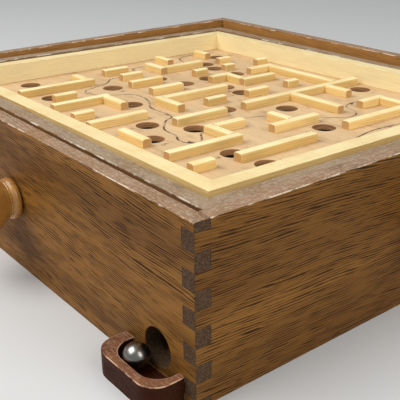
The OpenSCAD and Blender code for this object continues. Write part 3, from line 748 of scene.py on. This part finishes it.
class LABYRINTH_OT_box(bpy.types.Operator):
    """Dress the four finger-jointed walls of the box"""
    bl_idname = "labyrinth.box"
    bl_label = "Box walls"

    # Upward-leaning faces of the top arris take the pale worn colour: partly wear, partly a painted highlight
    def top_arris(self, face, high, arris):
        return LEANING < face.normal.z < LEVEL and face.calc_center_median().z > high.z - arris

    def cut_face(self, face, low, high, thin, arris):
        """Whether a face lies inside the wall's thickness, or looks up from below the wall's top. Such bore faces
        take the dark end-grain colour: partly real end grain, partly painted shade inside the holes.
        """
        middle = face.calc_center_median()
        inside = low[thin] + arris < middle[thin] < high[thin] - arris
        return inside and abs(face.normal.z) < LEVEL or face.normal.z > FACING and middle.z < high.z - CREST

    def execute(self, context):
        look = context.scene.labyrinth_box
        across = wood("Box wood, long walls", look, ALONG_X)
        deep = wood("Box wood, side walls", look, ALONG_Y)
        for node, material, grain in (("front_wall", across, ALONG_X), ("back_wall", across, ALONG_X),
                                      ("left_wall", deep, ALONG_Y), ("right_wall", deep, ALONG_Y)):
            low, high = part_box(node)
            bm = solid_copy(node)
            rim = [e for e in convex_edges(bm, PANEL_EDGE) if all(v.co.z > high.z - WELD for v in e.verts)]
            worn = ease(bm, rim, look.arris)
            rest = [e for e in convex_edges(bm, JOINT_EDGE) if not any(f in worn for f in e.link_faces)]
            fine = ease(bm, rest, look.arris/2)
            bm.normal_update()
            worn = {f for f in bm.faces if self.top_arris(f, high, look.arris)}
            mark(bm, node, grain, worn)
            thin = 1 if grain.x else 0
            # Bore faces get the dark sawn colour, partly real end grain and partly painted shade in the holes
            cuts = {f for f in bm.faces if self.cut_face(f, low, high, thin, look.arris)}
            mark_sawn(bm, (fine | cuts) - worn)
            # Inward faces are marked for the painted light of the inner colour
            mark_inside(bm, node, worn)
            finish_piece(f"{node}_eased", bm, BODY_OF[node], material, SLOT_OF[node], node)
        return {"FINISHED"}


class LABYRINTH_OT_base(bpy.types.Operator):
    """Dress the base panel, its nails and the ball ramp"""
    bl_idname = "labyrinth.base"
    bl_label = "Base and ramp"

    def execute(self, context):
        scene = context.scene
        board = wood("Hardboard", scene.labyrinth_hardboard, ALONG_X)
        batten = wood("Batten wood", scene.labyrinth_frame, ALONG_X)
        for node in ("base_panel", "ball_ramp"):
            eased_copy(node, board, ALONG_X, scene.labyrinth_hardboard.arris, PANEL_EDGE)
        for node in ("ramp_bearers", "corner_guide"):
            eased_copy(node, batten, ALONG_X, scene.labyrinth_hardboard.arris, JOINT_EDGE)
        paint(metal("Nail steel", scene.labyrinth_metals.steel, 0.3, 0.5, 0.3), "base_nails")
        return {"FINISHED"}


class LABYRINTH_OT_cup(bpy.types.Operator):
    """Dress the ball cup under the exit"""
    bl_idname = "labyrinth.cup"
    bl_label = "Ball cup"

    def execute(self, context):
        look = context.scene.labyrinth_cup
        # The cup's sides take painted shade through the dark colours of its wood
        eased_copy("ball_cup", wood("Cup wood", look, ALONG_X), ALONG_X, look.arris, CUP_EDGE)
        return {"FINISHED"}


class LABYRINTH_OT_frame(bpy.types.Operator):
    """Dress the tilting frame and its pivot pins"""
    bl_idname = "labyrinth.frame"
    bl_label = "Tilting frame"

    def execute(self, context):
        scene = context.scene
        look = scene.labyrinth_frame
        across = wood("Frame wood, long rails", look, ALONG_X)
        deep = wood("Frame wood, side rails", look, ALONG_Y)
        for side, material, grain in (("front", across, ALONG_X), ("back", across, ALONG_X),
                                      ("left", deep, ALONG_Y), ("right", deep, ALONG_Y)):
            eased_copy(f"frame_{side}_rail", material, grain, look.arris, RAIL_EDGE, mitred=True)
        steel = metal("Pin steel", scene.labyrinth_metals.steel, 0.25, 0.45, 0.3)
        paint(steel, "frame_pivot_pins", "board_pivot_pins")
        return {"FINISHED"}


class LABYRINTH_OT_board(bpy.types.Operator):
    """Dress the maze board: its rim, floor and strips"""
    bl_idname = "labyrinth.board"
    bl_label = "Maze board"

    def execute(self, context):
        scene = context.scene
        look = scene.labyrinth_pale
        ply = scene.labyrinth_floor
        across = wood("Pale wood across", look, ALONG_X)
        deep = wood("Pale wood front to back", look, ALONG_Y)
        for side, material, grain in (("front", across, ALONG_X), ("back", across, ALONG_X),
                                      ("left", deep, ALONG_Y), ("right", deep, ALONG_Y)):
            eased_copy(f"rim_{side}", material, grain, look.arris, RAIL_EDGE, mitred=True)
        # The strips take a lighter copy of the pale wood, as painted light
        strip = scene.labyrinth_strip
        lengthwise = wood("Strip wood front to back", strip, ALONG_Y)
        crosswise = wood("Strip wood across", strip, ALONG_X)
        for part in ("left", "middle", "right"):
            eased_copy(f"long_strips_{part}", lengthwise, ALONG_Y, strip.arris, 0)
        for part in ("left", "right"):
            eased_copy(f"cross_strips_{part}", crosswise, ALONG_X, strip.arris, 0)
        bm = solid_copy("maze_floor")
        worn = ease(bm, [e for e in convex_edges(bm, 0) if e.calc_length() < HOLE_EDGE], ply.arris)
        mark(bm, "maze_floor", ALONG_X, worn)
        mark_sawn(bm, [f for f in bm.faces if f not in worn and abs(f.normal.z) < UPRIGHT])
        finish_piece("maze_floor_eased", bm, BODY_OF["maze_floor"], wood("Floor ply", ply, ALONG_X, PLIES),
                     SLOT_OF["maze_floor"], "maze_floor")
        return {"FINISHED"}


class LABYRINTH_OT_print(bpy.types.Operator):
    """Print the route, its arrows and the hole numbers on the maze floor"""
    bl_idname = "labyrinth.print"
    bl_label = "Printed route"

    # Distance of a number from its hole, in cells, and its font size as a multiple of its height
    DIGIT_REACH = 0.86
    FONT_SIZE = 1.4
    # Length of an arrow as a multiple of its circle's radius, and the share of its width that is kept
    ARROW_LENGTH = 1.7
    ARROW_WIDTH = 0.6
    # Wood that shows through thin ink
    THIN_INK = (206, 172, 138)

    def route_line(self, look):
        curve = bpy.data.curves.new("route", "CURVE")
        curve.dimensions = "3D"
        curve.twist_mode = "Z_UP"
        curve.bevel_depth = look.line/2
        curve.bevel_resolution = 0
        curve.use_fill_caps = True
        curve.resolution_u = 6
        spline = curve.splines.new("BEZIER")
        spline.bezier_points.add(len(ROUTE) - 1)
        for point, (x, y) in zip(spline.bezier_points, ROUTE):
            point.co = (x*CELL_X, y*CELL_Y, 0)
            point.handle_left_type = point.handle_right_type = "AUTO"
        return to_mesh(curve, "route")

    def arrow(self, look, number):
        here, there = (Vector((x*CELL_X, y*CELL_Y, 0)) for x, y in ROUTE[number:number + 2])
        bm = bmesh.new()
        bmesh.ops.create_circle(bm, cap_ends=True, segments=3, radius=look.arrow/self.ARROW_LENGTH)
        made = bmesh.ops.extrude_face_region(bm, geom=bm.faces[:])
        upper = [part for part in made["geom"] if isinstance(part, bmesh.types.BMVert)]
        bmesh.ops.translate(bm, vec=(0, 0, look.line), verts=upper)
        bmesh.ops.scale(bm, vec=(self.ARROW_WIDTH, 1, 1), verts=bm.verts)
        bmesh.ops.recalc_face_normals(bm, faces=bm.faces)
        turn = Matrix.Rotation(math.atan2(-(there - here).x, (there - here).y), 4, "Z")
        bmesh.ops.transform(bm, matrix=Matrix.Translation((here + there)/2) @ turn, verts=bm.verts)
        return bm

    def digits(self, look, number, x, y, side):
        text = bpy.data.curves.new(f"number_{number}", "FONT")
        text.body = str(number)
        text.size = look.digit*self.FONT_SIZE
        text.extrude = look.line/2
        text.align_x = text.align_y = "CENTER"
        bm = to_mesh(text, f"number_{number}")
        right = self.DIGIT_REACH*math.cos(math.radians(side))
        up = self.DIGIT_REACH*math.sin(math.radians(side))
        bmesh.ops.translate(bm, vec=((x + right)*CELL_X, (y + up)*CELL_Y, 0), verts=bm.verts)
        return bm

    def execute(self, context):
        look = context.scene.labyrinth_print
        bm = self.route_line(look)
        for number in ARROWS:
            join_into(bm, self.arrow(look, number))
        for number, (x, y, side) in enumerate(HOLES, 1):
            join_into(bm, self.digits(look, number, x, y, side))
        low = min(v.co.z for v in bm.verts)
        high = max(v.co.z for v in bm.verts)
        flatten = Matrix.Diagonal((1, 1, look.thick/(high - low), 1)) @ Matrix.Translation((0, 0, -low))
        lift = Matrix.Translation((0, 0, FLOOR_TOP))
        bmesh.ops.transform(bm, matrix=pose_of_board() @ lift @ flatten, verts=bm.verts)
        material, tree, shader = new_material("Printing ink")
        vector = place(tree, "ShaderNodeTexCoord").outputs["Object"]
        thin = noise(tree, vector, scale=INK_SCALE, detail=5, roughness=0.7)
        colour = blend(tree, ramp(tree, thin, 0.42, 0.58, 0, 0.9), look.ink, srgb(*self.THIN_INK))
        tree.links.new(colour, shader.inputs["Base Color"])
        tree.links.new(ramp(tree, thin, 0.3, 0.7, 0.45, 0.7), shader.inputs["Roughness"])
        finish_piece("printed_route", bm, "maze_board", material, SLOT_OF["maze_floor"])
        return {"FINISHED"}


class LABYRINTH_OT_knobs(bpy.types.Operator):
    """Turn the two wooden knobs"""
    bl_idname = "labyrinth.knobs"
    bl_label = "Knobs"

    # Turned profile as radius and distance from the wall end, in mm
    PROFILE = (
        (4.0, 0.0), (9.6, 0.0), (10.6, 0.35), (11.35, 1.2), (11.75, 2.5), (11.55, 3.7), (11.1, 4.6),
        (10.7, 5.0), (10.6, 5.3), (10.95, 5.9), (10.6, 6.3), (10.9, 6.9), (12.0, 8.6), (13.5, 11.0),
        (15.2, 13.6), (16.7, 16.4), (17.4, 18.6), (17.5, 19.6), (17.1, 21.4), (15.9, 24.2), (13.6, 27.2),
        (10.4, 29.9), (6.6, 31.9), (3.2, 32.8), (0.0, 33.0),
    )
    GROOVES = (8.6, 18.6, 29.9)

    def turned(self, look):
        bm = marked_bmesh()
        last = None
        for radius, along in self.PROFILE:
            cut = look.groove if along in self.GROOVES else 0
            vert = bm.verts.new((radius*MM - cut, 0, along*MM))
            if last:
                bm.edges.new((last, vert))
            last = vert
        bmesh.ops.subdivide_edges(bm, edges=bm.edges, cuts=2, smooth=1.0)
        bmesh.ops.spin(bm, geom=bm.verts[:] + bm.edges[:], cent=(0, 0, 0), axis=(0, 0, 1), angle=2*math.pi,
                       steps=look.sides, use_merge=True)
        bmesh.ops.remove_doubles(bm, verts=bm.verts, dist=WELD*10)
        rim = [e for e in bm.edges if e.is_boundary]
        bmesh.ops.contextual_create(bm, geom=rim)
        bmesh.ops.recalc_face_normals(bm, faces=bm.faces)
        return bm

    def execute(self, context):
        scene = context.scene
        for side, grain, turn in (("front", ALONG_Y, Matrix.Rotation(math.pi/2, 4, "X")),
                                  ("right", ALONG_X, Matrix.Rotation(math.pi/2, 4, "Y"))):
            node = f"{side}_knob"
            low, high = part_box(node)
            wall_end = (low + high)/2
            if side == "front":
                wall_end.y = high.y
            else:
                wall_end.x = low.x
            bm = self.turned(scene.labyrinth_knobs)
            bmesh.ops.transform(bm, matrix=Matrix.Translation(wall_end) @ turn, verts=bm.verts)
            mark(bm, node, grain, set(), ends=KNOB_ENDS)
            material = wood(f"Knob wood, {side}", scene.labyrinth_knob_wood, grain)
            finish_piece(f"{node}_turned", bm, BODY_OF[node], material, SLOT_OF[node], node)
        return {"FINISHED"}


class LABYRINTH_OT_drive(bpy.types.Operator):
    """Dress the shafts, collars, screw eyes, springs and strings"""
    bl_idname = "labyrinth.drive"
    bl_label = "Shafts and strings"

    # Turns of a string on its shaft, and straight steps in one turn
    TURNS = 3
    STEPS = 32

    def string(self, node, route, pose, material):
        middle, plain, sprung = route
        stop = sprung - (sprung - middle).normalized()*SPRING_LENGTH
        bm = tube([plain, middle, stop], STRING_RADIUS, node)
        bmesh.ops.transform(bm, matrix=pose, verts=bm.verts)
        finish_piece(f"{node}_yarn", bm, BODY_OF[node], material, SLOT_OF[node], node)

    def winding(self, node, material, along_x):
        low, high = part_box(node)
        middle = (low + high)/2
        radius = (high.z - low.z)/2 - STRING_RADIUS
        reach = (high - low).x if along_x else (high - low).y
        points = []
        for step in range(self.TURNS*self.STEPS + 1):
            angle = 2*math.pi*step/self.STEPS
            run = (reach - 2*STRING_RADIUS)*(step/(self.TURNS*self.STEPS) - 0.5)
            first, second = radius*math.cos(angle), radius*math.sin(angle)
            points.append(middle + Vector((run, second, -first) if along_x else (first, -run, second)))
        bm = tube(points, STRING_RADIUS, node)
        finish_piece(f"{node}_yarn", bm, BODY_OF[node], material, SLOT_OF[node], node)

    def execute(self, context):
        look = context.scene.labyrinth_metals
        yarn = twisted_string("Twisted string", look.string)
        self.string("frame_string", FRAME_STRING, pose_of_frame(), yarn)
        self.string("board_string", BOARD_STRING, pose_of_board(), yarn)
        self.winding("front_winding", yarn, False)
        self.winding("right_winding", yarn, True)
        steel = metal("Shaft steel", look.steel, 0.2, 0.4, 0.3)
        paint(steel, "front_shaft", "right_shaft", "frame_spring", "board_spring")
        brass = metal("Collar brass", look.brass, 0.25, 0.5, 0.3)
        paint(brass, "front_shaft_collars", "right_shaft_collars", "frame_eyes", "board_eyes")
        return {"FINISHED"}


class LABYRINTH_OT_ball(bpy.types.Operator):
    """Polish the steel ball"""
    bl_idname = "labyrinth.ball"
    bl_label = "Ball"

    def execute(self, context):
        low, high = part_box("ball")
        bm = bmesh.new()
        bmesh.ops.create_icosphere(bm, subdivisions=6, radius=(high.z - low.z)/2)
        bmesh.ops.translate(bm, vec=(low + high)/2, verts=bm.verts)
        for face in bm.faces:
            face.smooth = True
        # Darkened steel colour: painted dark reflection of the surroundings
        material = metal("Ball steel", context.scene.labyrinth_metals.ball, 0.22, 0.32, 0.03)
        finish_piece("ball_polished", bm, BODY_OF["ball"], material, SLOT_OF["ball"], "ball")
        return {"FINISHED"}


class LABYRINTH_OT_stage(bpy.types.Operator):
    """Set the floor, the light and the camera"""
    bl_idname = "labyrinth.stage"
    bl_label = "Stage"

    # Places and sizes of the lamps, and the point they shine at, in metres
    OVERHEAD_AT = (-0.35, -0.8, 1.12)
    OVERHEAD_SIZE = (1.1, 0.9)
    SIDE_AT = (1.1, 0.1, 0.8)
    SIDE_SIZE = (0.8, 0.8)
    LIT = (0, 0, 0.05)
    DAYLIGHT = (0.96, 0.98, 1, 1)

    def lamp(self, name, power, size, at):
        data = bpy.data.lights.new(name, "AREA")
        data.energy = power
        data.shape = "RECTANGLE"
        data.size, data.size_y = size
        made = bpy.data.objects.new(name, data)
        made.location = at
        made.rotation_mode = "QUATERNION"
        made.rotation_quaternion = (Vector(self.LIT) - Vector(at)).to_track_quat("-Z", "Y")
        bpy.context.scene.collection.objects.link(made)

    def execute(self, context):
        scene = context.scene
        look = scene.labyrinth_stage
        bm = bmesh.new()
        bmesh.ops.create_grid(bm, x_segments=8, y_segments=8, size=4)
        mesh = bpy.data.meshes.new("floor")
        bm.to_mesh(mesh)
        bm.free()
        floor = bpy.data.objects.new("floor", mesh)
        scene.collection.objects.link(floor)
        material, tree, shader = new_material("Pale floor")
        vector = place(tree, "ShaderNodeTexCoord").outputs["Object"]
        cloud = noise(tree, vector, scale=FLOOR_SCALE, detail=4)
        tree.links.new(blend(tree, cloud, look.floor, darker(look.floor, 0.96)), shader.inputs["Base Color"])
        shader.inputs["Roughness"].default_value = 0.45
        mesh.materials.append(material)
        world = bpy.data.worlds.new("Soft studio")
        world.use_nodes = True
        back = world.node_tree.nodes["Background"]
        back.inputs["Color"].default_value = self.DAYLIGHT
        back.inputs["Strength"].default_value = look.world
        scene.world = world
        self.lamp("overhead", look.key, self.OVERHEAD_SIZE, self.OVERHEAD_AT)
        self.lamp("side", look.fill, self.SIDE_SIZE, self.SIDE_AT)
        data = bpy.data.cameras.new("camera")
        data.lens = look.lens
        data.sensor_width = 36
        camera = bpy.data.objects.new("camera", data)
        camera.location = look.eye
        camera.rotation_mode = "QUATERNION"
        roll = Quaternion((0, 0, 1), look.roll)
        camera.rotation_quaternion = Vector(look.aim).to_track_quat("-Z", "Y") @ roll
        scene.collection.objects.link(camera)
        scene.camera = camera
        scene.view_settings.view_transform = "Standard"
        return {"FINISHED"}


OPERATORS = (
    LABYRINTH_OT_stage, LABYRINTH_OT_box, LABYRINTH_OT_base, LABYRINTH_OT_cup, LABYRINTH_OT_frame,
    LABYRINTH_OT_board, LABYRINTH_OT_print, LABYRINTH_OT_knobs, LABYRINTH_OT_drive, LABYRINTH_OT_ball,
)


class LABYRINTH_PT_sidebar(bpy.types.Panel):
    bl_idname = "LABYRINTH_PT_sidebar"
    bl_label = "Labyrinth"
    bl_space_type = "VIEW_3D"
    bl_region_type = "UI"
    bl_category = "Labyrinth"

    def draw(self, context):
        for operator in OPERATORS:
            self.layout.operator(operator.bl_idname)
        for name in SETTINGS:
            group = getattr(context.scene, name)
            column = self.layout.box().column()
            column.label(text=name)
            for key in group.__class__.__annotations__:
                column.prop(group, key)


CLASSES = (*SETTINGS.values(), *OPERATORS, LABYRINTH_PT_sidebar)


def register():
    for made in CLASSES:
        bpy.utils.register_class(made)
    for name, group in SETTINGS.items():
        setattr(bpy.types.Scene, name, PointerProperty(type=group))


def unregister():
    for name in SETTINGS:
        delattr(bpy.types.Scene, name)
    for made in reversed(CLASSES):
        bpy.utils.unregister_class(made)


def main():
    register()
    for operator in OPERATORS:
        family, name = operator.bl_idname.split(".")
        getattr(getattr(bpy.ops, family), name)()


if __name__ == "__main__":
    main()
